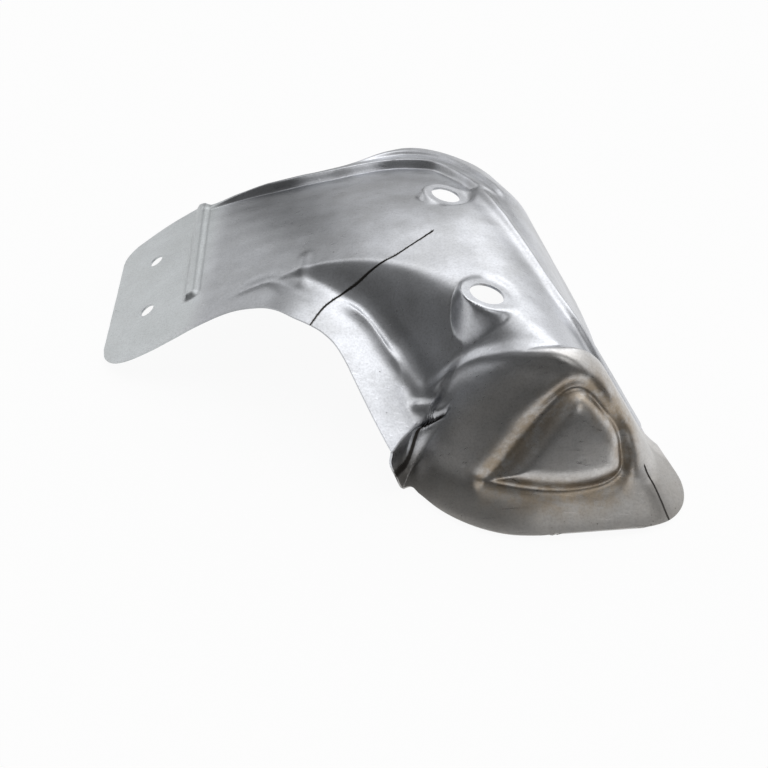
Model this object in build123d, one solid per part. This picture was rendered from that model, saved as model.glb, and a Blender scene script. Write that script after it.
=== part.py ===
from build123d import *

import math
import os

# Exhaust heat shield: one pressed steel sheet, lying open side down as it rests.
# Millimetres. X runs from the bolt tab to the channel, Y from the nose to the open end, Z is up.
# The sheet is what lies between its outer form and the same form set in by its thickness.

# Sheet, its cuts, and how far the construction volumes reach past it
SHEET_THICKNESS = 1.0
SLIT_WIDTH = 1.4
REACH = 450.0
UNDERGROUND = 30.0
TALL = 200.0

# Bolt tab: a flat that rises from its outer edge on the ground
TAB_START = (-135.6, 7.0)
TAB_END = (-147.6, 109.5)
TAB_TOP = (-122.0, 118.8)
TAB_SLOPE = 28.0
TAB_START_RADIUS = 20.0
TAB_END_RADIUS = 14.0
TAB_HOLE_DIAMETER = 8.0
TAB_HOLE_INSET = 24.4
TAB_HOLE_FIRST = 31.7
TAB_HOLE_PITCH = 44.7

# Rib pressed across the tab
RIB_FOOT = (-92.0, 32.5)
RIB_HEAD = (-101.8, 126.0)
RIB_HEIGHT = 2.0
RIB_WIDTH = 8.4
RIB_RUN_OUT = 7.0

# Channel: an arch whose crest falls a little to the nose and more to the open end, with a bend between
CHANNEL_PLACE = (37.3, 27.1)
CHANNEL_TURN = 8.0
CREST_HEIGHT = 68.2
CREST_FALL_FRONT = 3.0
CREST_FALL_BACK = 14.0
CREST_BEND_RADIUS = 130.0
RIGHT_ROUNDING = 40.0
RIGHT_SLOPE = 58.0
LEFT_SLOPE = 4.3
WING_BEND_RADIUS = 120.0

# Nose: the closed end, a leaning wall round part of a circle; rim places are an angle and a height
NOSE_CENTRE = (64.0, 15.0)
NOSE_FOOT_RADIUS = 92.3
NOSE_DRAFT = 22.9
NOSE_LEFT_ANGLE = 238.0
NOSE_RIGHT_ANGLE = 300.0
NOSE_SHOULDER = 12.0
NOSE_CORNER = 20.0
NOSE_RIM_PLACES = [(280.0, 55.0), (294.3, 29.0)]
CAP_RIM_LEFT = [(-10, -86), (3, -67), (11, -55), (24, -50.5), (40, -49)]
CAP_RIM_RIGHT = [(60, -48.5), (78, -43), (91, -37), (105, -36), (150, -44)]
CAP_RAISE = 2.6

# Groove pressed round an island in the nose wall, as seen from the front: X and Z of its middle line
GROOVE_CORNERS = [(39.0, 13.0), (68.5, 50.0), (90.0, 30.0), (86.0, 13.0)]
GROOVE_CORNER_RADIUS = 7.0
GROOVE_WIDTH = 7.0
GROOVE_DEPTH = 3.0

# Skirt: the flared foot of the nose, on a wide round, a straight front and a tight round
SKIRT_LEFT_CENTRE = (58.0, -32.0)
SKIRT_LEFT_RADIUS = 56.8
SKIRT_RIGHT_CENTRE = (99.0, -62.2)
SKIRT_RIGHT_RADIUS = 22.4
SKIRT_LEFT_ANGLE = 209.0
SKIRT_RIGHT_ANGLE = 375.0
SKIRT_SLOPE = 36.0
SKIRT_HEIGHT = 12.6
SKIRT_TRIM = 0.4

# Inner flange: a strip that ramps down to the nose, with a leaning wall above it
FLANGE_PLACE = (-28.0, -16.4, 47.0)
FLANGE_TURN = -45.5
FLANGE_SLOPE = 25.6
WALL_ROOT = [(-42.0, 6.0), (-10.0, -10.0), (18.2, -56.0)]
WALL_DRAFT = 25.0
WALL_SHOULDER = 14.0
WALL_LEFT = -48.0

# Border: raised along the open end and down the right side
BORDER_LEFT = [(-180, 175), (-104, 131), (-90, 119.5), (-80, 112), (-69, 107.8), (-55, 105.5), (-42, 107)]
BORDER_BACK = [(-29, 111.5), (-16, 117.8), (-2, 121.8), (11.4, 120.1), (24.4, 111.4), (34, 94.5)]
BORDER_SIDE = [(42, 74), (49.2, 52.2), (55, 36), (61.4, 20.1), (66.4, 6.9), (73, -8.9), (81, -21)]
BORDER_END = [(91, -28), (105, -31), (150, -38)]
BORDER_RAISE = 4.8

# Bosses: two flat pads in one plane, each round a bolt hole
BOSS_FIRST = (40.2, -21.4, 66.7)
BOSS_SECOND = (29.1, 60.5, 66.11)
BOSS_LEAN = 13.0
BOSS_LEAN_TURN = 9.5
BOSS_HOLE_DIAMETER = 14.0
BOSS_PAD_RADIUS = 10.8
BOSS_DRAFT = 22.0
BOSS_DEPTH = 10.0

# Plan of the sheet's edge: along the tab and the flange, then from the skirt round to the tab again
TAB_EDGE = [(-112, 6.3), (-98, 7.4), (-82, 9.3), (-66.5, 7.6), (-58.5, 3.7), (-50.5, -1), (-42, -7.5)]
FLANGE_EDGE = [(-36, -11.5), (-29.7, -14.8), (-22, -20), (-15.5, -28.9)]
FLANGE_EDGE += [(-9.6, -40), (-1.6, -54.8), (4.4, -64.4)]
RIGHT_EDGE = [(118.2, -45), (114.2, -31.5), (113, -10), (109.5, 30), (104, 70), (98, 92)]
BACK_EDGE = [(88, 102.5), (74, 106), (60, 109), (48, 113), (36.5, 120), (25.4, 130.5), (12.5, 139.5)]
BACK_LEFT_EDGE = [(3.4, 138), (-7.7, 130), (-18.6, 124), (-29, 116.5), (-42, 110.5), (-56, 108.2)]
TAB_BACK_EDGE = [(-71, 110.2), (-85, 115), (-103, 121.5)]

# Slits, each as the plan line of the cut
SLIT_FROM_FLANGE = [(-40.0, -21.0), (-15.8, 4.2), (21.3, 25.1)]
SLIT_AT_NOSE_LEFT = [(-1.0, -71.0), (7.4, -58.8), (13.5, -51.5), (24.0, -48.5)]
SLIT_AT_NOSE_RIGHT = [(102.5, -66.0), (113.0, -88.0)]

AXIS_TURN = math.radians(CHANNEL_TURN)
ALONG = Vector(math.sin(AXIS_TURN), -math.cos(AXIS_TURN), 0)
ACROSS = Vector(math.cos(AXIS_TURN), math.sin(AXIS_TURN), 0)
TAB_LIFT = SHEET_THICKNESS / math.cos(math.radians(TAB_SLOPE))
CAP_RIM = CAP_RIM_LEFT + CAP_RIM_RIGHT


def tab_plane():
    """The tab's outer face, lifted so that its lower edge lies on the ground."""
    edge = (Vector(*TAB_END, 0) - Vector(*TAB_START, 0)).normalized()
    inward = Vector(edge.Y, -edge.X, 0)
    slope = math.radians(TAB_SLOPE)
    normal = Vector(0, 0, math.cos(slope)) - inward * math.sin(slope)
    return Plane(origin=(*TAB_START, TAB_LIFT), x_dir=edge, z_dir=normal)


def flange_plane():
    turn, slope = math.radians(FLANGE_TURN), math.radians(FLANGE_SLOPE)
    down = Vector(math.cos(turn) * math.cos(slope), math.sin(turn) * math.cos(slope), -math.sin(slope))
    normal = Vector(math.cos(turn) * math.sin(slope), math.sin(turn) * math.sin(slope), math.cos(slope))
    return Plane(origin=FLANGE_PLACE, x_dir=down, z_dir=normal)


def boss_plane(place):
    lean, turn = math.radians(BOSS_LEAN), math.radians(BOSS_LEAN_TURN)
    normal = Vector(math.sin(lean) * math.cos(turn), math.sin(lean) * math.sin(turn), math.cos(lean))
    return Plane(origin=place, z_dir=normal)


def below(plane, set_in):
    """Everything under a plane, set in by a distance."""
    return plane * Pos(0, 0, -set_in - REACH / 2) * Box(2 * REACH, 2 * REACH, REACH)


def on_plane(plane, point):
    """The place on a leaning plane that lies over a plan point."""
    run = (point[0] - plane.origin.X) * plane.z_dir.X + (point[1] - plane.origin.Y) * plane.z_dir.Y
    return Vector(*point, plane.origin.Z - run / plane.z_dir.Z)


def nearest(edges, place):
    return edges.sort_by_distance(Vector(*place))[0]


def round_point(centre, radius, angle):
    turn = math.radians(angle)
    return Vector(*centre) + Vector(math.cos(turn), math.sin(turn)) * radius


def nose_radius(height, set_in):
    """Radius of the nose wall at a height."""
    draft = math.radians(NOSE_DRAFT)
    return NOSE_FOOT_RADIUS - height * math.tan(draft) - set_in / math.cos(draft)


def moved_right(points, shift):
    """A line of plan points moved to the right of its own direction."""
    moved = []
    for i, point in enumerate(points):
        before, after = points[max(i - 1, 0)], points[min(i + 1, len(points) - 1)]
        course = (Vector(*after) - Vector(*before)).normalized()
        moved.append((point[0] + course.Y * shift, point[1] - course.X * shift))
    return moved


def upright(points, *rest):
    """A tall prism on a plan area, bounded by a smooth line of points and straight lines."""
    line = Spline(*[Vector(*p) for p in points])
    close = Polyline(Vector(*points[-1]), *[Vector(*p) for p in rest], Vector(*points[0]))
    return extrude(Pos(0, 0, -UNDERGROUND) * make_face([line, close]), amount=TALL)


def channel_form(set_in):
    """The arch: one section drawn out to the nose, bent, and drawn out to the open end."""
    fall, turn = math.radians(CREST_FALL_FRONT), CREST_FALL_FRONT + CREST_FALL_BACK
    forward = ALONG * math.cos(fall) - Vector(0, 0, math.sin(fall))
    plane = Plane(origin=(*CHANNEL_PLACE, CREST_HEIGHT), x_dir=ACROSS, z_dir=forward)
    radius = RIGHT_ROUNDING - set_in
    angles = [math.radians(a) for a in (-LEFT_SLOPE, (RIGHT_SLOPE - LEFT_SLOPE) / 2, RIGHT_SLOPE)]
    arch = [(radius * math.sin(a), radius * math.cos(a) - RIGHT_ROUNDING) for a in angles]
    left_end = (-REACH, arch[0][1] - (REACH + arch[0][0]) * math.tan(-angles[0]))
    low = UNDERGROUND / 2 - CREST_BEND_RADIUS
    right_foot = (arch[2][0] + (arch[2][1] - low) / math.tan(angles[2]), low)
    outer = Polyline(arch[2], right_foot, (-REACH, low), left_end)
    face = plane * make_face([Line(left_end, arch[0]), ThreePointArc(*arch), outer])
    axis = Axis(plane.origin - plane.y_dir * CREST_BEND_RADIUS, ACROSS)
    back_face = face.rotate(axis, -turn)
    back = Vector(forward).rotate(Axis((0, 0, 0), ACROSS), -turn)
    front_part = extrude(face, amount=REACH, dir=forward)
    back_part = extrude(back_face, amount=REACH, dir=back * -1)
    return front_part + revolve(face, axis, -turn) + back_part


def main_form(set_in):
    """Tab and channel, with the bend between them rounded."""
    plane = tab_plane()
    form = below(plane, set_in) & channel_form(set_in)
    tab_face = form.faces().filter_by(Axis((0, 0, 0), plane.z_dir)).sort_by(Axis.Z)[-1]
    ridge = tab_face.edges().sort_by(Axis.Z)[-1]
    return fillet(ridge, WING_BEND_RADIUS - set_in)


def wall_form(set_in):
    """What lies inside the nose wall and the wall above the inner flange."""
    radius = nose_radius(-UNDERGROUND, set_in)
    middle = (NOSE_LEFT_ANGLE + NOSE_RIGHT_ANGLE) / 2
    points = [round_point(NOSE_CENTRE, radius, a) for a in (NOSE_LEFT_ANGLE, middle, NOSE_RIGHT_ANGLE)]
    far_left = points[0] + round_point((0, 0), REACH, NOSE_LEFT_ANGLE - 90)
    far_right = points[2] + round_point((0, 0), REACH, NOSE_RIGHT_ANGLE + 90)
    lines = [Line(far_left, points[0]), ThreePointArc(*points), Line(points[2], far_right)]
    lines += [Polyline(far_right, (far_right.X, REACH), (far_left.X, REACH), far_left)]
    height = TALL - 2 * UNDERGROUND
    nose = extrude(Pos(0, 0, -UNDERGROUND) * make_face(lines), amount=height, taper=NOSE_DRAFT)
    plane = flange_plane()
    root = [plane.to_local_coords(on_plane(plane, p)) for p in WALL_ROOT]
    arc = ThreePointArc(*[Vector(p.X, p.Y) for p in root])
    lean = math.radians(WALL_DRAFT)
    start, end = -2 * UNDERGROUND, TALL / 2
    radii = [arc.radius + h * math.tan(lean) + set_in / math.cos(lean) for h in (start, end)]
    outside = plane * Pos(arc.arc_center.X, arc.arc_center.Y, (start + end) / 2) * Cone(*radii, end - start)
    walls = nose - outside
    bent = ShapeList([e for e in walls.edges() if e.geom_type not in (GeomType.LINE, GeomType.CIRCLE)])
    return fillet(nearest(bent, on_plane(plane, WALL_ROOT[-1])), NOSE_CORNER - set_in)


def foot_lines(start, out):
    """The foot's outline from an angle on its wide round, set out by a distance: round, straight, round."""
    left, right = SKIRT_LEFT_RADIUS + out, SKIRT_RIGHT_RADIUS + out
    between = Vector(*SKIRT_RIGHT_CENTRE) - Vector(*SKIRT_LEFT_CENTRE)
    lean = math.acos((SKIRT_LEFT_RADIUS - SKIRT_RIGHT_RADIUS) / between.length)
    front = math.degrees(math.atan2(between.Y, between.X) - lean) + 360
    middle = (front + SKIRT_RIGHT_ANGLE) / 2
    wide = [round_point(SKIRT_LEFT_CENTRE, left, a) for a in (start, (start + front) / 2, front)]
    tight = [round_point(SKIRT_RIGHT_CENTRE, right, a) for a in (front, middle, SKIRT_RIGHT_ANGLE)]
    return [ThreePointArc(*wide), Line(wide[2], tight[0]), ThreePointArc(*tight)]


def skirt_form(set_in):
    """The foot's outline, drawn up and in at the skirt's slope."""
    slope = math.radians(SKIRT_SLOPE)
    out = SKIRT_TRIM + (SHEET_THICKNESS - set_in) / math.sin(slope) + UNDERGROUND / math.tan(slope)
    lines = foot_lines(180, out)
    start, end = lines[0] @ 0, lines[2] @ 1
    far = end + round_point((0, 0), 2 * SKIRT_LEFT_RADIUS, SKIRT_RIGHT_ANGLE + 90)
    face = make_face(lines + [Polyline(end, far, (start.X, far.Y), start)])
    height = UNDERGROUND + SKIRT_HEIGHT - set_in
    return extrude(Pos(0, 0, -UNDERGROUND) * face, amount=height, taper=90 - SKIRT_SLOPE)


def rib_form(set_in):
    """A round bar, most of it under the tab's face, that narrows at its foot."""
    plane = tab_plane()
    bar = (RIB_WIDTH**2 / 4 + RIB_HEIGHT**2) / (2 * RIB_HEIGHT)
    ends = [on_plane(plane, p) + plane.z_dir * (RIB_HEIGHT - bar) for p in (RIB_FOOT, RIB_HEAD)]
    course = ends[1] - ends[0]
    tube = Pos(0, 0, course.length / 2) * Cylinder(bar - set_in, course.length)
    run_out = Cone(bar - set_in - 1.5 * RIB_HEIGHT, bar - set_in, RIB_RUN_OUT)
    return Plane(origin=ends[0], z_dir=course) * (tube + Pos(0, 0, -RIB_RUN_OUT / 2) * run_out)


def boss_form(place, set_in):
    draft = math.radians(BOSS_DRAFT)
    top = BOSS_PAD_RADIUS - set_in * (1 / math.cos(draft) - math.tan(draft))
    body = Cone(top + BOSS_DEPTH * math.tan(draft), top, BOSS_DEPTH)
    return boss_plane(place) * Pos(0, 0, -set_in - BOSS_DEPTH / 2) * body


def groove_form(set_in):
    """A ring cut from the front into the nose wall, as deep as the groove."""
    loop = make_face(Polyline(*GROOVE_CORNERS, GROOVE_CORNERS[0]))
    loop = fillet(loop.vertices(), GROOVE_CORNER_RADIUS)
    ring = offset(loop, GROOVE_WIDTH / 2 + set_in) - offset(loop, -GROOVE_WIDTH / 2 - set_in)
    front = Plane(origin=(0, SKIRT_LEFT_CENTRE[1], 0), x_dir=(1, 0, 0), z_dir=(0, -1, 0))
    low, high = -UNDERGROUND, TALL / 2
    radii = [nose_radius(z, set_in + GROOVE_DEPTH) for z in (low, high)]
    floor = Pos(*NOSE_CENTRE, (low + high) / 2) * Cone(*radii, high - low)
    return extrude(front * ring, amount=TALL / 2) - floor


def pressed_form(set_in):
    """The whole form under the sheet's outer face, set in by a distance."""
    main = main_form(set_in)
    walls = wall_form(set_in)
    overlap = moved_right(CAP_RIM, 2 * SHEET_THICKNESS)
    behind_cap = upright(overlap, (150, REACH), (-REACH, REACH), (-REACH, -86))
    cap_area = upright(moved_right(CAP_RIM, set_in), (150, -TALL), (-10, -TALL))
    right_of_bend = Pos(WALL_LEFT + REACH / 2, 0, 0) * Box(REACH, 2 * REACH, 2 * TALL)
    channel = main & walls & right_of_bend
    shoulder = nearest(channel.edges(), (*WALL_ROOT[1], CREST_HEIGHT))
    channel = fillet(shoulder, WALL_SHOULDER - set_in) & behind_cap
    nose = main_form(set_in - CAP_RAISE) & walls & right_of_bend
    rim = [round_point(NOSE_CENTRE, nose_radius(h, 0), a) + Vector(0, 0, h) for a, h in NOSE_RIM_PLACES]
    nose = fillet([nearest(nose.edges(), place) for place in rim], NOSE_SHOULDER - set_in)
    nose = nose & cap_area
    line = moved_right(BORDER_LEFT + BORDER_BACK + BORDER_SIDE + BORDER_END, -set_in)
    border = main_form(set_in - BORDER_RAISE) & upright(line, (REACH, -40), (REACH, REACH), (-180, REACH))
    strip = main & below(flange_plane(), set_in) & behind_cap
    skirt = skirt_form(set_in) & cap_area
    whole = channel + nose + strip + skirt + border
    whole = whole + rib_form(set_in) + boss_form(BOSS_FIRST, set_in) + boss_form(BOSS_SECOND, set_in)
    return whole - groove_form(set_in)


def plan_form():
    """A prism on the sheet's plan, standing on the ground."""
    foot = foot_lines(SKIRT_LEFT_ANGLE, 0)
    inner = Spline(*[Vector(*p) for p in TAB_EDGE + FLANGE_EDGE])
    step = Line(Vector(*FLANGE_EDGE[-1]), foot[0] @ 0)
    round_back = RIGHT_EDGE + BACK_EDGE + BACK_LEFT_EDGE + TAB_BACK_EDGE
    outer = Spline(foot[2] @ 1, *[Vector(*p) for p in round_back])
    corners = [TAB_BACK_EDGE[-1], TAB_TOP, TAB_END, TAB_START, TAB_EDGE[0]]
    tab = Polyline(*[Vector(*p) for p in corners])
    prism = extrude(make_face([inner, step, *foot, outer, tab]), amount=TALL)
    upper = TALL / 2
    prism = fillet(nearest(prism.edges(), (*TAB_START, upper)), TAB_START_RADIUS)
    return fillet(nearest(prism.edges(), (*TAB_END, upper)), TAB_END_RADIUS)


def slit(points):
    """A narrow upright cut along a plan line."""
    outline = moved_right(points, SLIT_WIDTH / 2) + moved_right(points, -SLIT_WIDTH / 2)[::-1]
    return extrude(make_face(Polyline(*outline, outline[0])), amount=TALL)


def main():
    sheet = (pressed_form(0) - pressed_form(SHEET_THICKNESS)) & plan_form()
    through = Cylinder(TAB_HOLE_DIAMETER / 2, UNDERGROUND)
    for along_edge in (TAB_HOLE_FIRST, TAB_HOLE_FIRST + TAB_HOLE_PITCH):
        sheet -= tab_plane() * Pos(along_edge, -TAB_HOLE_INSET, 0) * through
    for place in (BOSS_FIRST, BOSS_SECOND):
        sheet -= boss_plane(place) * Cylinder(BOSS_HOLE_DIAMETER / 2, UNDERGROUND)
    for line in (SLIT_FROM_FLANGE, SLIT_AT_NOSE_LEFT, SLIT_AT_NOSE_RIGHT):
        sheet -= slit(line)
    box = sheet.bounding_box()
    centre = box.center()
    sheet = Pos(-centre.X, -centre.Y, -box.min.Z) * sheet
    os.makedirs("parts", exist_ok=True)
    export_step(sheet, "parts/heat_shield.step")


main()
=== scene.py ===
# %% [markdown]
# # Exhaust heat shield
#
# One pressed sheet of steel. The imported model gives the frame and the size. This script shapes
# the sheet again with soft bends and its small press marks, gives it its thickness and cuts, and
# dresses it as worn steel with some shade and a dark reflection painted in. A few of its sizes differ
# from the solid's: the wall above the flange, the nose's foot, the cap's raise, the rear boss and the slits.
#
# ## Step 1: load the frame
#
# The imported model is kept, and is hidden once the dressed sheet is made.

import math

import bmesh
import bpy
import numpy as np
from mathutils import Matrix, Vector


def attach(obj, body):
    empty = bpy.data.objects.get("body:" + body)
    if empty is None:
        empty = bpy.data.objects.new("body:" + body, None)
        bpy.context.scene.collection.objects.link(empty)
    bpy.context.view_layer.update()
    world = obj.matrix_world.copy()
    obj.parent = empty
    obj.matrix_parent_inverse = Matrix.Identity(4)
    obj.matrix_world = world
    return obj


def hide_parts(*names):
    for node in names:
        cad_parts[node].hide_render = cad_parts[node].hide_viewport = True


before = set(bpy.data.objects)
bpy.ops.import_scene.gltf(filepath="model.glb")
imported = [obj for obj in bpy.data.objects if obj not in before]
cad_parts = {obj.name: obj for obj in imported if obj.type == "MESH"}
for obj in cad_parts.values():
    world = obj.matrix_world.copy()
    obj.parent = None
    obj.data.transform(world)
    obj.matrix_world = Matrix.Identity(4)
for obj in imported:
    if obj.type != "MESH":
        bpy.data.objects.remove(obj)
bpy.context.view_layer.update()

# %% [markdown]
# ## Step 2: the sizes of the sheet
#
# Millimetres, in the frame in which the sheet was measured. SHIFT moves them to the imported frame.

# %%
MM = 0.001
SHIFT = np.array([12.5035, -25.433, 0.0])
THICKNESS = 1.0

# Tab
TAB_START, TAB_END, TAB_SLOPE = (-135.6, 7.0), (-147.6, 109.5), 28.0
TAB_HOLE_RADIUS, TAB_HOLES = 4.0, [(-117.9, 41.0), (-123.1, 85.4)]
RIB_FOOT, RIB_HEAD, RIB_HEIGHT, RIB_WIDTH = (-92.0, 31.0), (-101.2, 120.0), 2.0, 8.4

# Channel
CHANNEL_PLACE, CHANNEL_TURN = (37.3, 27.1), 8.0
CREST_HEIGHT, CREST_FALL_FRONT, CREST_FALL_BACK, CREST_BEND_RADIUS = 68.2, 3.0, 14.0, 130.0
RIGHT_ROUNDING, RIGHT_SLOPE, LEFT_SLOPE = 40.0, 58.0, 4.3

# Nose
NOSE_CENTRE, NOSE_FOOT_RADIUS, NOSE_DRAFT = (64.0, 15.0), 95.8, 22.9
NOSE_LEFT_ANGLE, NOSE_RIGHT_ANGLE = 238.0, 300.0
CAP_RIM_LEFT = [(-10, -86), (3, -67), (11, -55), (24, -50.5), (40, -49)]
CAP_RIM = CAP_RIM_LEFT + [(60, -48.5), (78, -43), (91, -37), (105, -36), (150, -44)]
CAP_RAISE = 4.0
SKIRT_ROUNDS = [((58.0, -32.0), 56.8), ((99.0, -62.2), 22.4)]
SKIRT_SLOPE, SKIRT_HEIGHT = 36.0, 12.6

# Groove round the island in the nose: its middle line in X and Z, its half width and its depth along it
LOOP = [(39.0, 13.0), (68.0, 49.0), (86.0, 39.0), (93.0, 26.0), (88.0, 13.0)]
LOOP_PLACES = [0.0, 0.16, 0.32, 0.40, 0.5, 0.66, 0.8, 1.0]
LOOP_WIDTHS = [3.4, 5.0, 3.4, 2.3, 2.6, 2.8, 2.6, 3.4]
LOOP_DEPTHS = [2.6, 3.4, 3.2, 3.0, 2.8, 2.6, 1.4, 2.6]
ISLAND_RISE = 1.6

# Inner flange
FLANGE_PLACE, FLANGE_TURN, FLANGE_SLOPE = (-28.0, -16.4, 47.0), -45.5, 25.6
WALL_ROOT, WALL_DRAFT = [(-34.0, 13.0), (-4.5, -6.0), (19.0, -55.2)], 25.0

# Border: a step along the open end that turns into a bead down the right side, and a lip behind it
BORDER_LEFT = [(-180, 130), (-106, 115.5), (-94.4, 112.8), (-84, 110.5), (-72, 108.2), (-55, 105.5)]
BORDER_BACK = [(-42, 107), (-29, 111.5), (-16, 117.8), (-2, 121.8), (11.4, 120.1), (24.4, 111.4), (34, 94.5)]
BORDER_SIDE = [(42, 74), (49.2, 52.2), (55, 36), (61.4, 20.1), (66.4, 6.9), (73, -8.9), (81, -21)]
BORDER_END = [(91, -28), (105, -31), (150, -38)]
BORDER = BORDER_LEFT + BORDER_BACK + BORDER_SIDE + BORDER_END
SIDE_PLACES = [-40.0, -22.0, -8.0, 5.0, 30.0, 48.0, 66.0]
SIDE_RAISES = [5.8, 4.6, 3.0, 2.2, 2.2, 3.2, 4.8]
LIP_BACK = [(-24, 121), (-12, 126.5), (-2, 131), (6, 133), (12.5, 132), (22, 125.5)]
LIP = LIP_BACK + [(32, 115), (41, 100), (48, 84), (53, 68), (58, 50)]
LIP_RAISE = 2.2

# Bosses
BOSSES = [(40.2, -21.4, 66.7), (29.1, 60.5, 65.4)]
BOSS_LEAN, BOSS_LEAN_TURN, BOSS_HOLE_RADIUS = 13.0, 9.5, 7.0
BOSS_PAD_RADIUS, BOSS_FOOT_RADIUS = 10.4, 14.4

# Slits
SLIT_WIDTH = 0.6
SLITS = [
    [(-37, -26), (-31.4, -16.3), (-26.1, -5.9), (-21.7, -0.6), (-16.7, 3.2)]
    + [(-8, 4.4), (2.5, 7.4), (11.9, 15.8), (21.3, 25)],
    [(102.5, -64.5), (107.4, -73), (114, -88)],
]
TEAR = [(-1, -71), (4, -64.8), (7.1, -59.9), (11.1, -54.2), (14.5, -49.8), (18.5, -48.4), (24, -48.2)]
TEAR_WIDTH, TEAR_DEPTH = 0.9, 1.8

# Beads and creases left by the press: plan line, half width and rise
CREASE = [(-72.7, 19), (-60.6, 19.9), (-50.8, 17.6), (-43, 9.6), (-35.8, 3.1), (-27, -1.2), (-20.7, -3.1)]
CAP_ARCH = [(12.2, -39.9), (16.7, -37), (33.5, -40.5), (43.9, -44.8), (54.2, -48.1)]
CAP_ARCH += [(64.5, -51.6), (81.5, -55.7)]
MARKS = [
    ([(-20.4, 0.2), (-10.1, -6.2), (-5, -11), (2.9, -21.8), (5.7, -26.1), (8.6, -34.5)], 2.6, 1.8),
    (CREASE, 3.0, -0.9),
    ([(-34.5, 29.1), (-35.5, 18.7), (-35, 10.9), (-33.7, 4.4)], 3.0, 0.8),
    ([(3.3, -15.9), (6.5, -22.5), (10.6, -29.6), (14.5, -35.7), (17.3, -40.7)], 2.4, 0.8),
    (CAP_ARCH, 2.7, 2.0),
    ([(10.5, -43.7), (13.8, -41.7), (17.7, -42.9), (21.5, -45.5), (25.2, -47.1)], 2.2, 1.6),
]

# Edge of the sheet, as pairs across it: a point on the inner edge and one on the outer edge
PAIRS = [
    ((-137.6, 24.2), (-146.3, 98.5)),
    ((-134.35, 15.3), (-145.65, 104.6)),
    ((-127.4, 9.0), (-142.4, 109.9)),
    ((-118.3, 6.5), (-137.2, 113.3)),
    ((-108.0, 6.5), (-122.0, 118.6)),
    ((-97.5, 7.5), (-104.0, 121.0)),
    ((-88.0, 8.7), (-93.0, 115.0)),
    ((-79.0, 9.2), (-81.0, 112.2)),
    ((-70.0, 8.5), (-68.0, 109.6)),
    ((-62.0, 5.6), (-55.0, 108.0)),
    ((-54.0, 1.2), (-42.0, 110.5)),
    ((-46.0, -4.2), (-29.0, 116.5)),
    ((-38.5, -10.0), (-14.0, 126.5)),
    ((-32.0, -13.6), (3.0, 137.0)),
    ((-26.0, -17.0), (14.0, 138.5)),
    ((-20.5, -21.6), (27.0, 128.5)),
    ((-16.0, -28.0), (42.0, 116.0)),
    ((-12.2, -35.0), (62.0, 108.6)),
    ((-8.0, -43.0), (86.0, 103.0)),
    ((-4.0, -50.4), (99.0, 90.0)),
    ((0.0, -57.4), (105.0, 64.0)),
    ((2.6, -61.6), (109.5, 30.0)),
    ((5.0, -64.2), (112.6, 0.0)),
    ((10.6, -64.2), (113.6, -24.0)),
    ((14.5, -68.5), (115.8, -38.0)),
    ((21.5, -75.5), (119.6, -51.0)),
    ((29.6, -81.2), (121.3, -62.2)),
    ((38.6, -85.4), (118.6, -73.0)),
    ((48.1, -87.9), (111.0, -81.0)),
    ((58.0, -88.5), (101.4, -84.4)),
    ((66.0, -87.9), (93.0, -85.2)),
]
ROWS = [4, 4, 5, 8, 9, 10, 8, 7, 6, 7, 8, 10, 12, 10, 12]
ROWS += [13, 14, 15, 14, 14, 14, 14, 16, 18, 22, 22, 20, 16, 12, 8]
COLUMNS = 128
MORE_AT_BENDS = 14.0

# How softly two forms meet, as the height over which they blend
TAB_SOFT, NOSE_SOFT, FLANGE_SOFT, SHOULDER_SOFT, CAP_SOFT, SKIRT_SOFT = 14.0, 30.0, 11.0, 19.0, 3.0, 5.0

# %% [markdown]
# ## Step 3: the pressed form as a height
#
# The form is a few planes, cones and one bent arch. Where two of them meet, the higher or the
# lower is taken with a soft change between them, which is the bend of the press tool.

# %%


def ease(value):
    value = np.clip(value, 0.0, 1.0)
    return value * value * (3.0 - 2.0 * value)


def bell(value):
    return np.exp(-value * value)


def lower(a, b, soft):
    """The lower of two heights, rounded where they are closer than soft."""
    near = np.maximum(soft - np.abs(a - b), 0.0) / soft
    return np.minimum(a, b) - near * near * soft / 4.0


def upper(a, b, soft):
    return -lower(-a, -b, soft)


def smooth_line(points, per_span):
    """Points on a smooth line through the given points."""
    p = np.array(points, float)
    p = np.vstack([2 * p[0] - p[1], p, 2 * p[-1] - p[-2]])
    counts = per_span if isinstance(per_span, list) else [per_span] * (len(points) - 1)
    out = []
    for i, count in enumerate(counts):
        a, b, c, d = p[i : i + 4]
        last = i == len(counts) - 1
        t = np.linspace(0.0, 1.0, count + 1)[: count + 1 if last else count, None]
        h = [2 * t**3 - 3 * t**2 + 1, t**3 - 2 * t**2 + t, -2 * t**3 + 3 * t**2, t**3 - t**2]
        out.append(h[0] * b + h[1] * (c - a) / 2 + h[2] * c + h[3] * (d - b) / 2)
    return np.vstack(out)


def line_distance(x, y, line):
    """Distance to a line of points, positive on its left, and how far along it lies (0 to 1)."""
    flat = np.column_stack([x.ravel(), y.ravel()])
    start, run = line[:-1], np.diff(line, axis=0)
    length = np.hypot(run[:, 0], run[:, 1])
    along = np.concatenate([[0.0], np.cumsum(length)])
    distance, place = np.empty(len(flat)), np.empty(len(flat))
    for i in range(0, len(flat), 8000):
        gap = flat[i : i + 8000, None, :] - start[None]
        t = np.clip((gap * run).sum(2) / (length**2), 0.0, 1.0)
        off = gap - t[:, :, None] * run
        size = np.hypot(off[:, :, 0], off[:, :, 1])
        best = size.argmin(1)
        rows = np.arange(len(best))
        side = run[best, 0] * gap[rows, best, 1] - run[best, 1] * gap[rows, best, 0]
        distance[i : i + 8000] = size[rows, best] * np.where(side < 0, -1.0, 1.0)
        place[i : i + 8000] = (along[best] + t[rows, best] * length[best]) / along[-1]
    return distance.reshape(x.shape), place.reshape(x.shape)


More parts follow.
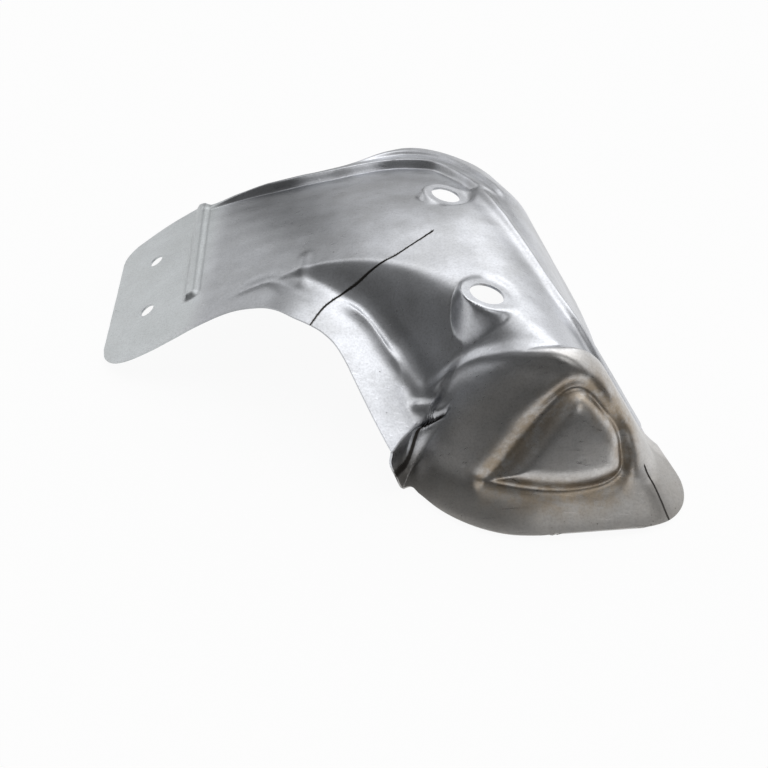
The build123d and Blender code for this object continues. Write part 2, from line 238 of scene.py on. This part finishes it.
def tab_height(x, y):
    edge = np.subtract(TAB_END, TAB_START) / np.linalg.norm(np.subtract(TAB_END, TAB_START))
    inward = (x - TAB_START[0]) * edge[1] - (y - TAB_START[1]) * edge[0]
    slope = math.radians(TAB_SLOPE)
    return THICKNESS / math.cos(slope) + inward * math.tan(slope)


def channel_height(x, y, proud):
    """The bent arch, its face moved out by proud."""
    turn = math.radians(CHANNEL_TURN)
    x, y = x - CHANNEL_PLACE[0], y - CHANNEL_PLACE[1]
    along = x * math.sin(turn) - y * math.cos(turn)
    across = x * math.cos(turn) + y * math.sin(turn)
    front, back = math.radians(CREST_FALL_FRONT), math.radians(CREST_FALL_BACK)
    bend = CREST_BEND_RADIUS
    length = bend * (math.sin(front) + math.sin(back))
    lean = np.arcsin(np.clip(-along, 0.0, length) / bend - math.sin(front))
    crest = CREST_HEIGHT + bend * (np.cos(lean) - math.cos(front))
    crest = crest - np.maximum(along, 0.0) * math.tan(front)
    crest = crest - np.maximum(-along - length, 0.0) * math.tan(back)
    radius = RIGHT_ROUNDING + proud
    left, right = math.radians(LEFT_SLOPE), math.radians(RIGHT_SLOPE)
    inside = np.clip(across, -radius * math.sin(left), radius * math.sin(right))
    arch = np.sqrt(radius**2 - inside**2) - RIGHT_ROUNDING
    arch = arch - np.maximum(inside - across, 0.0) * math.tan(left)
    return crest + arch - np.maximum(across - inside, 0.0) * math.tan(right)


def nose_height(x, y):
    x, y = x - NOSE_CENTRE[0], y - NOSE_CENTRE[1]
    turn = np.degrees(np.arctan2(y, x)) % 360.0
    turn = np.where(turn < 90.0, turn + 360.0, turn)
    turn = np.radians(np.clip(turn, NOSE_LEFT_ANGLE, NOSE_RIGHT_ANGLE))
    reach = x * np.cos(turn) + y * np.sin(turn)
    return (NOSE_FOOT_RADIUS - reach) / math.tan(math.radians(NOSE_DRAFT))


def flange_axes():
    turn, slope = math.radians(FLANGE_TURN), math.radians(FLANGE_SLOPE)
    ahead = np.array([math.cos(turn), math.sin(turn)])
    down = np.array([*(ahead * math.cos(slope)), -math.sin(slope)])
    normal = np.array([*(ahead * math.sin(slope)), math.cos(slope)])
    return down, np.cross(normal, down), normal


def flange_height(x, y):
    normal = flange_axes()[2]
    run = (x - FLANGE_PLACE[0]) * normal[0] + (y - FLANGE_PLACE[1]) * normal[1]
    return FLANGE_PLACE[2] - run / normal[2]


def circle_through(points):
    (ax, ay), (bx, by), (cx, cy) = points
    d = 2 * (ax * (by - cy) + bx * (cy - ay) + cx * (ay - by))
    a, b, c = ax**2 + ay**2, bx**2 + by**2, cx**2 + cy**2
    centre_x = (a * (by - cy) + b * (cy - ay) + c * (ay - by)) / d
    centre_y = (a * (cx - bx) + b * (ax - cx) + c * (bx - ax)) / d
    return (centre_x, centre_y), math.hypot(ax - centre_x, ay - centre_y)


def wall_height(x, y):
    """The leaning wall above the inner flange: a cone that stands on the flange's plane."""
    u, v, w = flange_axes()
    place = np.array(FLANGE_PLACE)
    root = [np.array([px, py, float(flange_height(px, py))]) - place for px, py in WALL_ROOT]
    centre, radius = circle_through([(r @ u, r @ v) for r in root])
    lean = math.tan(math.radians(WALL_DRAFT))
    flat = np.stack([x - place[0], y - place[1], np.full_like(x, -place[2])], -1)
    a0, b0, r0 = flat @ u - centre[0], flat @ v - centre[1], radius + lean * (flat @ w)
    a1, b1, r1 = u[2], v[2], lean * w[2]
    qa = a1 * a1 + b1 * b1 - r1 * r1
    qb = 2 * (a0 * a1 + b0 * b1 - r0 * r1)
    qc = a0 * a0 + b0 * b0 - r0 * r0
    root = np.sqrt(np.maximum(qb * qb - 4 * qa * qc, 0.0))
    both = np.stack([(-qb - root) / (2 * qa), (-qb + root) / (2 * qa)])
    fits = r0 + r1 * both > 0
    near = np.where(fits, np.abs(both - flange_height(x, y)), 1e9)
    return np.take_along_axis(both, near.argmin(0)[None], 0)[0]


def skirt_height(x, y):
    """A slope up from the foot's outline, which wraps a wide and a tight round."""
    out = np.full(x.shape, -1e9)
    for turn in np.radians(np.linspace(180.0, 375.0, 80)):
        c, s = math.cos(turn), math.sin(turn)
        reach = max(c * centre[0] + s * centre[1] + radius for centre, radius in SKIRT_ROUNDS)
        out = np.maximum(out, c * x + s * y - reach)
    slope = math.radians(SKIRT_SLOPE)
    return lower(THICKNESS / math.cos(slope) - out * math.tan(slope), SKIRT_HEIGHT + 0 * x, 3.0)


def with_boss(height, x, y, place):
    """A flat pad pressed level into the form, proud on one side and flush on the other."""
    lean, turn = math.radians(BOSS_LEAN), math.radians(BOSS_LEAN_TURN)
    normal = np.array([math.sin(lean) * math.cos(turn), math.sin(lean) * math.sin(turn), math.cos(lean)])
    px, py = x - place[0], y - place[1]
    flat = place[2] - (px * normal[0] + py * normal[1]) / normal[2]
    reach = np.sqrt(px**2 + py**2 + (flat - place[2]) ** 2)
    pad = ease((BOSS_FOOT_RADIUS - reach) / (BOSS_FOOT_RADIUS - BOSS_PAD_RADIUS))
    return height * (1.0 - pad) + flat * pad


def raised(x, y, past_border, before_rim):
    """How far the border, its second lip and the nose's cap stand out of the plain form."""
    height = np.where(x > 30.0, np.interp(y, SIDE_PLACES, SIDE_RAISES), SIDE_RAISES[-1])
    height = height * np.clip((x + 102.0) / 40.0, 0.0, 1.0)
    right_side = ease((72.0 - y) / 14.0) * ease((x - 30.0) / 10.0)
    border = height * ease(past_border / (3.0 + 13.0 * right_side) + 0.5)
    bead = 1.5 * bell(past_border / 2.4) * right_side
    past_lip, place = line_distance(x, y, smooth_line(LIP, 8))
    lip = LIP_RAISE * ease(past_lip / 3.0 + 0.5) * ease(place / 0.25) * ease((1.0 - place) / 0.2)
    cap = CAP_RAISE * ease(before_rim / 5.0 + 0.5)
    return np.maximum(border + bead + lip, cap)


def sheet_height(x, y):
    past_border = line_distance(x, y, smooth_line(BORDER, 8))[0]
    before_rim = -line_distance(x, y, smooth_line(CAP_RIM, 8))[0]
    proud = raised(x, y, past_border, before_rim)
    main = lower(tab_height(x, y) + proud, channel_height(x, y, proud), TAB_SOFT)
    walls = lower(nose_height(x, y), wall_height(x, y), NOSE_SOFT)
    in_front = ease((before_rim + 2.0) / 5.0)
    low = flange_height(x, y) * (1.0 - in_front)
    soft = SHOULDER_SOFT + CAP_SOFT * ease((before_rim + 6.0) / 8.0)
    height = lower(main, upper(walls, low, FLANGE_SOFT), soft)
    open_side = ease((past_border + 1.0) / 2.0) * (1.0 - ease((before_rim + 8.0) / 8.0))
    height = height * (1.0 - open_side) + main * open_side
    height = upper(height, skirt_height(x, y) - 40.0 * (1.0 - in_front), SKIRT_SOFT)
    for place in BOSSES:
        height = with_boss(height, x, y, place)
    return height


# %% [markdown]
# ## Step 4: the grid of the sheet
#
# Rows run from the inner edge to the outer edge, from the tab round to the nose. Where a row
# would go under the ground, it ends on the ground. The slit beside the nose is cut
# through in the solid. Here it is only a narrow groove with painted shade along it: cutting it needed too
# much memory.

# %%


def row_points(inner, outer, t):
    return [inner[:, k : k + 1] + (outer[:, k : k + 1] - inner[:, k : k + 1]) * t for k in (0, 1)]


def box_blur(values, size, axis):
    """Mean over a run of neighbours, with the ends repeated."""
    pads = [(0, 0), (0, 0)]
    pads[axis] = (size, size)
    total = np.cumsum(np.pad(values, pads, mode="edge"), axis=axis)
    width = 2 * size
    ahead = np.take(total, range(width, total.shape[axis]), axis=axis)
    behind = np.take(total, range(0, total.shape[axis] - width), axis=axis)
    return (ahead - behind) / width


def plan_grid():
    """Rows end on the ground, and have more points where the form bends more."""
    inner = smooth_line([pair[0] for pair in PAIRS], ROWS)
    outer = smooth_line([pair[1] for pair in PAIRS], ROWS)
    fine = np.linspace(0.0, 1.0, 361)
    half = 180
    z = sheet_height(*row_points(inner, outer, fine))
    reach = np.ones(len(inner))
    for i in np.nonzero(z[:, half:].min(1) < 0.0)[0]:
        k = half + np.nonzero(z[i, half:] < 0.0)[0][0]
        reach[i] = fine[k - 1] + z[i, k - 1] / (z[i, k - 1] - z[i, k]) * (fine[k] - fine[k - 1])
    outer = inner + (outer - inner) * reach[:, None]
    x, y = row_points(inner, outer, fine)
    z = sheet_height(x, y)
    run = np.hypot(np.diff(x, axis=1), np.diff(y, axis=1))
    rise = np.diff(z, axis=1)
    step = np.hypot(run, rise)
    bend = np.abs(np.gradient(np.arctan2(rise, run), axis=1)) / step
    weight = step * (1.0 + MORE_AT_BENDS * np.minimum(bend, 0.5))
    weight = box_blur(box_blur(weight, 4, 1), 3, 0)
    total = np.cumsum(np.pad(weight, [(0, 0), (1, 0)]), axis=1)
    even = np.linspace(0.0, 1.0, COLUMNS + 1)
    t = np.array([np.interp(even, row / row[-1], fine) for row in total])
    t[:, 0], t[:, -1] = 0.0, 1.0
    return row_points(inner, outer, t)


def grid_normals(points):
    rows, columns = np.gradient(points, axis=0), np.gradient(points, axis=1)
    normal = np.cross(rows, columns)
    normal = normal / np.linalg.norm(normal, axis=2, keepdims=True)
    return normal * np.sign(normal[:, :, 2:3])


def nose_mark(x, y, z):
    """The groove in the nose and the island that it rings."""
    loop = smooth_line(LOOP + LOOP[:1], 10)
    gap, place = line_distance(x, z, loop)
    inside = np.zeros(x.shape, bool)
    for (ax, az), (bx, bz) in zip(loop[:-1], loop[1:]):
        if az != bz:
            inside ^= ((az > z) != (bz > z)) & (x < ax + (z - az) / (bz - az) * (bx - ax))
    around = np.where(inside, -np.abs(gap), np.abs(gap))
    width = np.interp(place, LOOP_PLACES, LOOP_WIDTHS)
    depth = np.interp(place, LOOP_PLACES, LOOP_DEPTHS)
    on_nose = ease((-46.0 - y) / 4.0)
    return on_nose * (ISLAND_RISE * ease(-around / 9.0) - depth * bell(around / width))


def press_marks(x, y, z):
    """How far each point stands proud of the plain form."""
    distance, place = line_distance(x, y, np.array([RIB_FOOT, RIB_HEAD]))
    fade = ease((place - 0.005) / 0.05)
    proud = RIB_HEIGHT * ease((RIB_WIDTH / 2 + 0.6 - np.abs(distance)) / 3.4) * fade
    proud = proud + nose_mark(x, y, z)
    proud = proud - TEAR_DEPTH * bell(line_distance(x, y, smooth_line(TEAR, 8))[0] / TEAR_WIDTH)
    for points, width, rise in MARKS:
        distance, place = line_distance(x, y, smooth_line(points, 8))
        proud = proud + rise * bell(distance / width) * ease(place / 0.25) * ease((1.0 - place) / 0.25)
    waves = np.sin(x / 7.3 + 1.7 * np.sin(y / 19.0)) * np.sin(y / 8.9 + 1.1 * np.sin(x / 23.0))
    return proud + 0.07 * waves + 0.05 * np.sin(x / 3.1 + y / 4.3) * np.sin(y / 3.7 - x / 5.9)


def sheet_points():
    x, y = plan_grid()
    points = np.stack([x, y, sheet_height(x, y)], -1)
    points = points + grid_normals(points) * press_marks(*np.moveaxis(points, 2, 0))[:, :, None]
    return points


def make_object(name, points, faces):
    mesh = bpy.data.meshes.new(name)
    mesh.from_pydata(points.reshape(-1, 3), [], faces)
    mesh.validate()
    thing = bpy.data.objects.new(name, mesh)
    bpy.context.scene.collection.objects.link(thing)
    return thing


skin = sheet_points()
rows, columns = skin.shape[:2]
corner = np.arange(rows * columns).reshape(rows, columns)
quads = np.stack([corner[:-1, :-1], corner[1:, :-1], corner[1:, 1:], corner[:-1, 1:]], -1)
quads = quads.reshape(-1, 4)
shield = make_object("shield", (skin + SHIFT) * MM, quads.tolist())

# %% [markdown]
# ## Step 5: thickness, as a node group
#
# The skin is pushed in along its normals and closed with the skin itself.

# %%


def thickness_group():
    group = bpy.data.node_groups.new("sheet_thickness", "GeometryNodeTree")
    group.interface.new_socket("Geometry", in_out="INPUT", socket_type="NodeSocketGeometry")
    group.interface.new_socket("Thickness", in_out="INPUT", socket_type="NodeSocketFloat")
    group.interface.new_socket("Geometry", in_out="OUTPUT", socket_type="NodeSocketGeometry")
    nodes, links = group.nodes, group.links
    start, end = nodes.new("NodeGroupInput"), nodes.new("NodeGroupOutput")
    extrude = nodes.new("GeometryNodeExtrudeMesh")
    extrude.inputs["Individual"].default_value = False
    flip, join = nodes.new("GeometryNodeFlipFaces"), nodes.new("GeometryNodeJoinGeometry")
    merge = nodes.new("GeometryNodeMergeByDistance")
    negate = nodes.new("ShaderNodeMath")
    negate.operation = "MULTIPLY"
    negate.inputs[1].default_value = -1.0
    merge.inputs["Distance"].default_value = 1e-5
    links.new(start.outputs["Thickness"], negate.inputs[0])
    links.new(start.outputs["Geometry"], extrude.inputs["Mesh"])
    links.new(negate.outputs[0], extrude.inputs["Offset Scale"])
    links.new(extrude.outputs["Mesh"], join.inputs[0])
    links.new(start.outputs["Geometry"], flip.inputs["Mesh"])
    links.new(flip.outputs["Mesh"], join.inputs[0])
    links.new(join.outputs[0], merge.inputs["Geometry"])
    links.new(merge.outputs["Geometry"], end.inputs[0])
    return group


def settle(thing):
    """The modifiers' result becomes the mesh itself."""
    graph = bpy.context.evaluated_depsgraph_get()
    mesh = bpy.data.meshes.new_from_object(thing.evaluated_get(graph))
    thing.modifiers.clear()
    thing.data = mesh


thicken = shield.modifiers.new("thickness", "NODES")
thicken.node_group = thickness_group()
thicken["Socket_1"] = THICKNESS * MM
settle(shield)
bm = bmesh.new()
bm.from_mesh(shield.data)
bmesh.ops.recalc_face_normals(bm, faces=bm.faces)
for v in bm.verts:
    v.co.z = max(v.co.z, 0.0)
bm.to_mesh(shield.data)
bm.free()

# %% [markdown]
# ## Step 6: holes and slits

# %%


def round_cutter(name, place, normal, radius, depth, sides=48):
    w = np.array(normal) / np.linalg.norm(normal)
    u = np.cross([0.0, 1.0, 0.0], w)
    u = u / np.linalg.norm(u)
    v = np.cross(w, u)
    turn = np.linspace(0.0, 2 * math.pi, sides, endpoint=False)
    ring = np.outer(np.cos(turn), u) + np.outer(np.sin(turn), v)
    points = np.vstack([place + ring * radius - w * depth, place + ring * radius + w * depth])
    return prism_cutter(name, points)


def prism_cutter(name, points):
    n = len(points) // 2
    sides = [(i, (i + 1) % n, n + (i + 1) % n, n + i) for i in range(n)]
    faces = sides + [tuple(range(n - 1, -1, -1)), tuple(range(n, 2 * n))]
    return make_object(name, (np.array(points) + SHIFT) * MM, faces)


def slit_cutter(name, points):
    line = smooth_line(points, 4)
    course = np.gradient(line, axis=0)
    course = course / np.linalg.norm(course, axis=1, keepdims=True)
    side = np.column_stack([course[:, 1], -course[:, 0]]) * SLIT_WIDTH / 2
    plan = np.vstack([line + side, (line - side)[::-1]])
    low, high = (np.column_stack([plan, np.full(len(plan), z)]) for z in (-5.0, 90.0))
    return prism_cutter(name, np.vstack([low, high]))


slope = math.radians(TAB_SLOPE)
tab_normal = (-math.sin(slope), 0.0, math.cos(slope))
lean, turn = math.radians(BOSS_LEAN), math.radians(BOSS_LEAN_TURN)
boss_normal = (math.sin(lean) * math.cos(turn), math.sin(lean) * math.sin(turn), math.cos(lean))
cutters = []
for i, (px, py) in enumerate(TAB_HOLES):
    place = np.array([px, py, float(tab_height(px, py))])
    cutters.append(round_cutter(f"tab_cut_{i}", place, tab_normal, TAB_HOLE_RADIUS, 6.0))
for i, place in enumerate(BOSSES):
    cutters.append(round_cutter(f"boss_cut_{i}", np.array(place), boss_normal, BOSS_HOLE_RADIUS, 8.0, 64))
for i, points in enumerate(SLITS):
    cutters.append(slit_cutter(f"slit_cut_{i}", points))
for cutter in cutters:
    cut = shield.modifiers.new("cut", "BOOLEAN")
    cut.operation = "DIFFERENCE"
    cut.solver = "EXACT"
    cut.object = cutter
settle(shield)
for cutter in cutters:
    bpy.data.objects.remove(cutter)
for face in shield.data.polygons:
    face.use_smooth = True
shield.data.set_sharp_from_angle(angle=math.radians(42.0))

# %% [markdown]
# ## Step 7: where the steel is tinted, marked and painted with shade
#
# Each point of the finished mesh gets a few numbers between 0 and 1, which the shader reads.

# %%
flat = np.empty(len(shield.data.vertices) * 3)
shield.data.vertices.foreach_get("co", flat)
at = flat.reshape(-1, 3) / MM - SHIFT
ax, ay, az = at.T
rim_gap = -line_distance(ax, ay, smooth_line(CAP_RIM, 8))[0]
edge_line = np.vstack([skin[:, 0, :2], skin[-1, :, :2], skin[::-1, -1, :2], skin[0, ::-1, :2]])[::3]
edge_gap = np.abs(line_distance(ax, ay, edge_line)[0])
slit_gap = np.min([np.abs(line_distance(ax, ay, smooth_line(s, 4))[0]) for s in SLITS], axis=0)
tear_gap = np.abs(line_distance(ax, ay, smooth_line(TEAR, 8))[0])
groove_gap = np.abs(line_distance(ax, az, smooth_line(LOOP + LOOP[:1], 10))[0])
on_flange = ease(1.4 - np.abs(az - flange_height(ax, ay)) / 3.0)
numbers = {
    "nose": ease((rim_gap + 3.0) / 9.0),
    "edge": bell(edge_gap / 5.0),
    "flange": on_flange * ease((ax + 34.0) / 6.0) * ease(-rim_gap / 4.0),
    "tab": ease((-82.0 - ax) / 12.0),
    # where painted shade darkens the surface along the slits and the torn groove
    "slit": np.maximum(bell(slit_gap / 0.5), bell(tear_gap / 0.8)),
    # where painted shade darkens the middle of the left leg
    "wing_painted_shade": ease((-5.0 - ax) / 45.0) * ease((ax + 92.0) / 12.0),
    "groove": ease((9.0 - groove_gap) / 8.0) * ease((-46.0 - ay) / 5.0),
    # where a dark reflection is painted on the nose's foot
    "skirt_dark_reflection": ease((14.0 - az) / 5.0) * ease((-46.0 - ay) / 5.0),
}
for name, values in numbers.items():
    layer = shield.data.attributes.new(name, "FLOAT", "POINT")
    layer.data.foreach_set("value", values)

# %% [markdown]
# ## Step 8: worn bare steel, with painted shade and a painted dark reflection
#
# The class below lets shader sums be written as sums.

# %%


class Value:
    """A number in a shader tree. Its operators add the nodes that work it out."""

    def __init__(self, tree, socket):
        self.tree, self.socket = tree, socket

    def node(self, kind, operation, *values):
        added = self.tree.nodes.new(kind)
        if operation:
            added.operation = operation
        for slot, value in zip(added.inputs, values):
            if isinstance(value, Value):
                self.tree.links.new(value.socket, slot)
            elif value is not None:
                slot.default_value = value
        return added

    def sum_of(self, operation, *values):
        return Value(self.tree, self.node("ShaderNodeMath", operation, *values).outputs[0])

    def __add__(self, other):
        return self.sum_of("ADD", self, other)

    def __sub__(self, other):
        return self.sum_of("SUBTRACT", self, other)

    def __mul__(self, other):
        return self.sum_of("MULTIPLY", self, other)

    def __radd__(self, other):
        return self.sum_of("ADD", other, self)

    def __rsub__(self, other):
        return self.sum_of("SUBTRACT", other, self)

    def __rmul__(self, other):
        return self.sum_of("MULTIPLY", other, self)

    def rise(self, low, high):
        """0 up to low, 1 from high on, with a soft change between."""
        added = self.node("ShaderNodeMapRange", None, self, low, high, 0.0, 1.0)
        added.interpolation_type = "SMOOTHSTEP"
        return Value(self.tree, added.outputs[0])

    def along(self, course):
        """How far a direction runs along another one."""
        added = self.node("ShaderNodeVectorMath", "DOT_PRODUCT", self, Vector(course).normalized())
        return Value(self.tree, added.outputs["Value"])

    def stretched(self, turn, scale):
        added = self.node("ShaderNodeMapping", None, self)
        added.inputs["Rotation"].default_value = turn
        added.inputs["Scale"].default_value = scale
        return Value(self.tree, added.outputs[0])

    def noise(self, scale, detail, rough=0.5):
        added = self.node("ShaderNodeTexNoise", None, self)
        added.inputs["Scale"].default_value = scale
        added.inputs["Detail"].default_value = detail
        added.inputs["Roughness"].default_value = rough
        return Value(self.tree, added.outputs[0])

    def spots(self, scale):
        added = self.node("ShaderNodeTexVoronoi", None, self)
        added.inputs["Scale"].default_value = scale
        return Value(self.tree, added.outputs["Distance"])

    def mixed(self, first, second):
        """A colour between two, by this number."""
        added = self.tree.nodes.new("ShaderNodeMix")
        added.data_type = "RGBA"
        self.tree.links.new(self.socket, added.inputs[0])
        for slot, colour in ((added.inputs[6], first), (added.inputs[7], second)):
            if isinstance(colour, Value):
                self.tree.links.new(colour.socket, slot)
            else:
                slot.default_value = (*colour, 1.0)
        return Value(self.tree, added.outputs[2])


def attribute(tree, name):
    added = tree.nodes.new("ShaderNodeAttribute")
    added.attribute_name = name
    return Value(tree, added.outputs["Fac"])


STEEL, DULL_STEEL, TAB_STEEL = (0.66, 0.675, 0.71), (0.53, 0.54, 0.56), (0.58, 0.61, 0.615)
# The first colour on the next line is painted shade for the middle of the left leg.
# The second colour on the next line is a painted dark reflection for the nose's foot.
WING_PAINTED_SHADE, SKIRT_DARK_REFLECTION = (0.32, 0.33, 0.345), (0.25, 0.24, 0.225)
# The last colour on the next line is real soot in the grain and specks, and painted shade along the slits.
BURNT, STRAW, SOOT_AND_SHADE = (0.36, 0.29, 0.21), (0.60, 0.53, 0.41), (0.06, 0.055, 0.05)


def steel_material():
    material = bpy.data.materials.new("bare_steel")
    material.use_nodes = True
    tree = material.node_tree
    shader = tree.nodes["Principled BSDF"]
    place = Value(tree, tree.nodes.new("ShaderNodeTexCoord").outputs["Object"])
    mm = place.stretched((0, 0, 0), (1000, 1000, 1000))
    nose, edge, flange, tab, slit, wing_painted_shade, groove, skirt_dark_reflection = (attribute(tree, n) for n in numbers)
    clouds, blots, grain = mm.noise(0.045, 4.0, 0.6), mm.noise(0.16, 5.0, 0.65), mm.noise(1.1, 3.0, 0.6)
    streaks = mm.stretched((0, 0, 0.5), (0.03, 0.5, 0.1)).noise(1.0, 4.0, 0.6)
    scratches = mm.stretched((0, 0, -0.9), (0.04, 1.6, 0.5)).noise(1.0, 2.0, 0.5)
    colour = clouds.rise(0.34, 0.66).mixed(DULL_STEEL, STEEL)
    colour = (tab * 0.75).mixed(colour, TAB_STEEL)
    # Painted shade: the middle of the left leg is darkened, standing in for the shade that falls there.
    colour = (wing_painted_shade * 0.65).mixed(colour, WING_PAINTED_SHADE)
    stained = tab * streaks.rise(0.52, 0.68) * 0.35
    colour = stained.mixed(colour, DULL_STEEL)
    colour = (nose * (0.1 + 0.3 * clouds)).mixed(colour, STRAW)
    # Painted dark reflection: the nose's foot is greyed, standing in for the dark room it mirrors.
    colour = (skirt_dark_reflection * 0.6).mixed(colour, SKIRT_DARK_REFLECTION)
    colour = ((groove * 0.8 + nose * 0.1) * (0.3 + 0.7 * blots.rise(0.35, 0.6))).mixed(colour, BURNT)
    colour = (grain.rise(0.38, 0.72) * 0.16).mixed(colour, SOOT_AND_SHADE)
    specks = (1.0 - mm.spots(0.34).rise(0.08, 0.2)) * blots.rise(0.5, 0.62)
    pits = (1.0 - mm.spots(0.6).rise(0.10, 0.2)) * blots.rise(0.54, 0.64)
    dirt_and_slit_shade = specks * (0.6 * flange + 0.5 * edge + 0.06) + pits * (0.5 * edge + 0.2 * nose + 0.1)
    # Painted shade: soot colour along the slits and the torn groove stands in for the shade inside them. The
    # specks and pits are real grime.
    dirt_and_slit_shade = (dirt_and_slit_shade + slit.rise(0.2, 0.8)).rise(0.0, 1.0)
    colour = dirt_and_slit_shade.mixed(colour, SOOT_AND_SHADE)
    tree.links.new(colour.socket, shader.inputs["Base Color"])
    rough = 0.27 + 0.10 * blots + 0.07 * grain + 0.05 * tab + 0.2 * dirt_and_slit_shade - 0.08 * scratches.rise(0.62, 0.7)
    tree.links.new(rough.socket, shader.inputs["Roughness"])
    shader.inputs["Metallic"].default_value = 1.0
    bump = tree.nodes.new("ShaderNodeBump")
    bump.inputs["Strength"].default_value = 0.32
    bump.inputs["Distance"].default_value = 0.0003
    relief = 0.5 * mm.noise(0.28, 3.0) + 0.22 * grain + 0.06 * scratches
    tree.links.new(relief.socket, bump.inputs["Height"])
    tree.links.new(bump.outputs[0], shader.inputs["Normal"])
    return material


shield.data.materials.clear()
shield.data.materials.append(steel_material())

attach(shield, "root")
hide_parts("heat_shield")

# %% [markdown]
# ## Step 9: floor, light and camera
#
# The floor is a white table. The light is a soft studio: a broad bright panel to the back right,
# weaker ones behind and overhead, and a dark front. Each panel is a direction, how wide it is
# (as the cosines of its outer and inner edge) and its strength.

# %%
scene = bpy.context.scene
scene.view_settings.view_transform = "Standard"

PANELS = [
    ((0.42, 0.50, 0.76), 0.800, 0.970, 1.35),
    ((-0.70, 0.64, 0.30), 0.930, 0.985, 1.1),
    ((0.0, 0.90, 0.43), 0.880, 0.990, 0.6),
    ((0.05, 0.25, 0.96), 0.760, 0.980, 0.7),
    ((-0.36, 0.40, 0.84), 0.850, 0.985, 0.7),
    ((0.42, -0.62, 0.66), 0.900, 0.985, 1.0),
    ((0.90, 0.36, 0.20), 0.643, 0.985, 0.85),
    ((-0.55, -0.45, 0.70), 0.866, 0.996, 0.15),
]
DARK = 0.09


def shown_white(tree):
    """1 for rays that show the background: from the camera, off metal or through glass."""
    path = tree.nodes.new("ShaderNodeLightPath")
    kinds = ("Camera", "Glossy", "Transmission")
    camera_ray, glossy, through = (Value(tree, path.outputs[f"Is {kind} Ray"]) for kind in kinds)
    return camera_ray, (camera_ray + glossy + through).rise(0.0, 1.0)


floor_material = bpy.data.materials.new("white_table")
floor_material.use_nodes = True
tree = floor_material.node_tree
tree.nodes.remove(tree.nodes["Principled BSDF"])
matt, glow = tree.nodes.new("ShaderNodeBsdfDiffuse"), tree.nodes.new("ShaderNodeEmission")
matt.inputs["Color"].default_value = (0.9, 0.9, 0.9, 1.0)
both = tree.nodes.new("ShaderNodeMixShader")
tree.links.new((shown_white(tree)[1] * 0.93).socket, both.inputs[0])
tree.links.new(matt.outputs[0], both.inputs[1])
tree.links.new(glow.outputs[0], both.inputs[2])
tree.links.new(both.outputs[0], tree.nodes["Material Output"].inputs["Surface"])
floor_points = np.array([(-1.5, -0.22, 0), (1.5, -0.22, 0), (1.5, 1.5, 0), (-1.5, 1.5, 0)], float)
floor = make_object("floor", floor_points, [(0, 1, 2, 3)])
floor.data.materials.append(floor_material)

world = bpy.data.worlds.new("studio")
scene.world = world
world.use_nodes = True
tree = world.node_tree
course = Value(tree, tree.nodes.new("ShaderNodeTexCoord").outputs["Generated"])
light = sum((course.along(d).rise(outer, inner) * power for d, outer, inner, power in PANELS), start=DARK)
light = light + shown_white(tree)[0] * (1.0 - light)
background = tree.nodes["Background"]
background.inputs["Color"].default_value = (1.0, 1.0, 1.0, 1.0)
tree.links.new(light.socket, background.inputs["Strength"])

camera_data = bpy.data.cameras.new("camera")
camera_data.sensor_width, camera_data.lens = 36.0, 36.0
camera = bpy.data.objects.new("camera", camera_data)
scene.collection.objects.link(camera)
scene.camera = camera
rise = math.radians(42.0)
eye = Vector(SHIFT * MM) + Vector((0.0, -math.cos(rise), math.sin(rise))) * 0.360
camera.location = eye
camera.rotation_euler = (Vector(SHIFT * MM) - eye).to_track_quat("-Z", "Y").to_euler()
